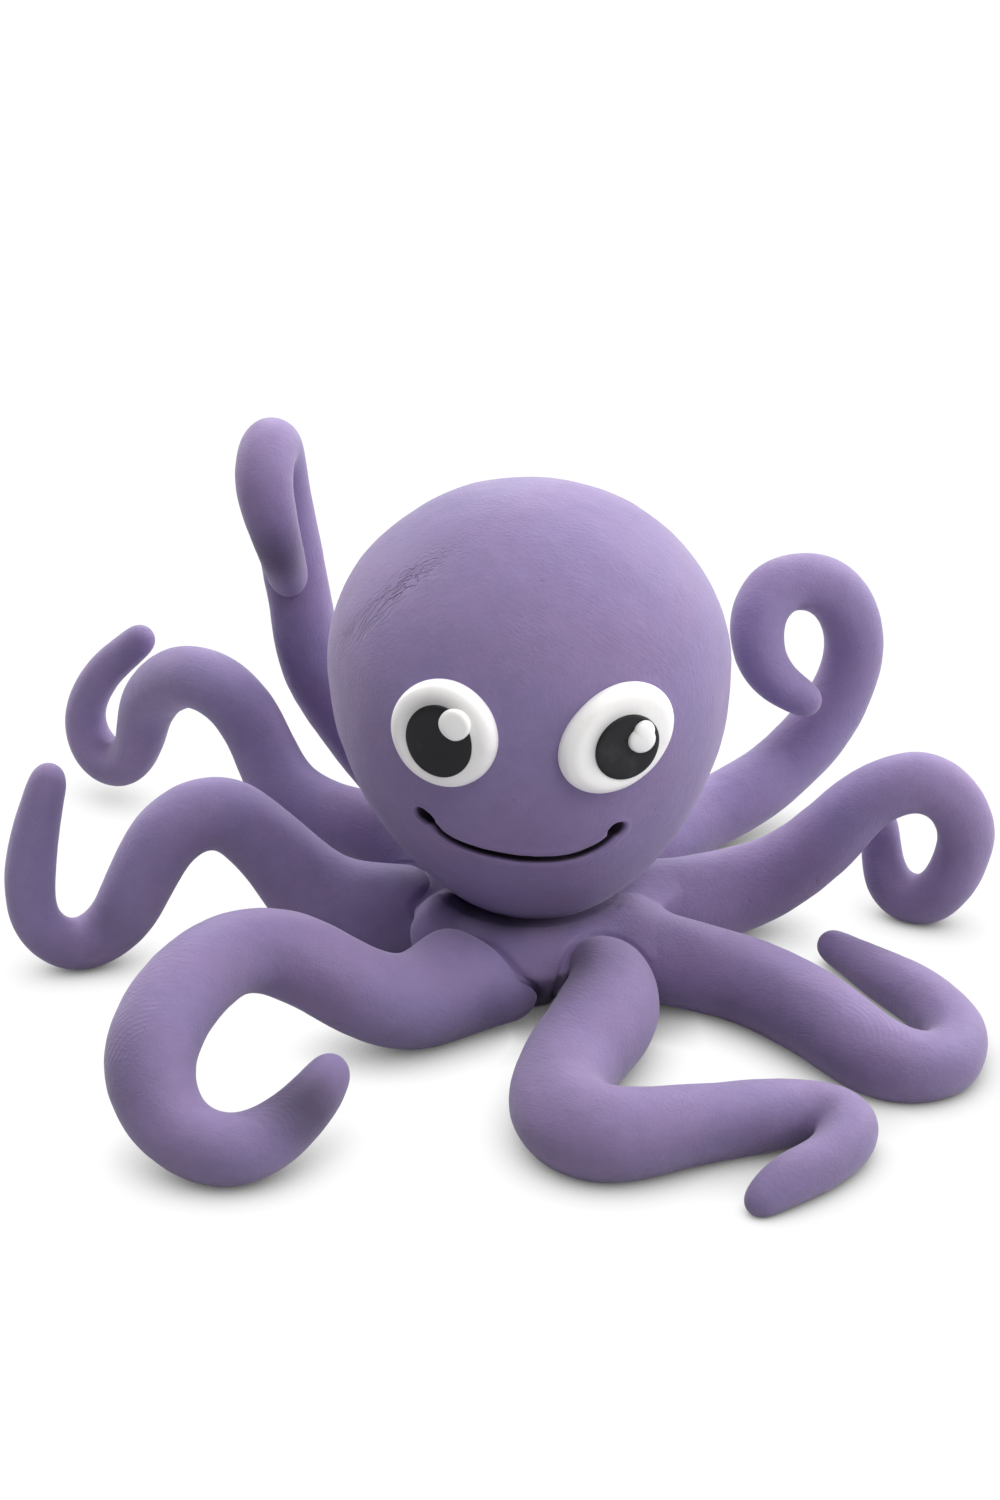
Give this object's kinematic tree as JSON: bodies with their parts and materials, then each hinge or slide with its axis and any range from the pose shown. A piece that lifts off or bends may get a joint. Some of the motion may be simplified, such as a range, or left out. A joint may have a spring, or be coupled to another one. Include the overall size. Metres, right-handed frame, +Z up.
{
  "type": "octopus figurine",
  "caption": "Hand-modelled clay octopus with an egg-shaped head, domed cartoon eyes, a carved smile and curling tapered arms, made to stand on a shelf.",
  "frame": {"origin": "on the surface that the figurine stands on, in the middle of the hub's flat underside, below the head", "axes": "+Z up, +X to the viewer's right, -Y the way the face looks"},
  "size_m": [0.088, 0.0786, 0.0451],
  "materials": {
    "clay": "matte baked polymer clay, mauve",
    "white_clay": "matte baked polymer clay, white",
    "black_clay": "matte baked polymer clay, charcoal",
    "foil": "crumpled kitchen foil",
    "pick": "plain wooden pick",
    "wire": "plain craft wire"
  },
  "bodies": {
    "root": {"hub": "clay", "head": "clay", "foil_core": "foil", "neck_pick": "pick", "wire_right_back": "wire", "wire_back_left": "wire", "arm_front_left": "clay", "arm_front_centre": "clay", "arm_right_front": "clay", "arm_right": "clay", "arm_right_back": "clay", "arm_back_left": "clay", "arm_far_left": "clay", "arm_left": "clay", "eye_white_left": "white_clay", "eye_white_right": "white_clay", "pupil_left": "black_clay", "pupil_right": "black_clay", "glint_left": "white_clay", "glint_right": "white_clay"}
  },
  "joints": []
}
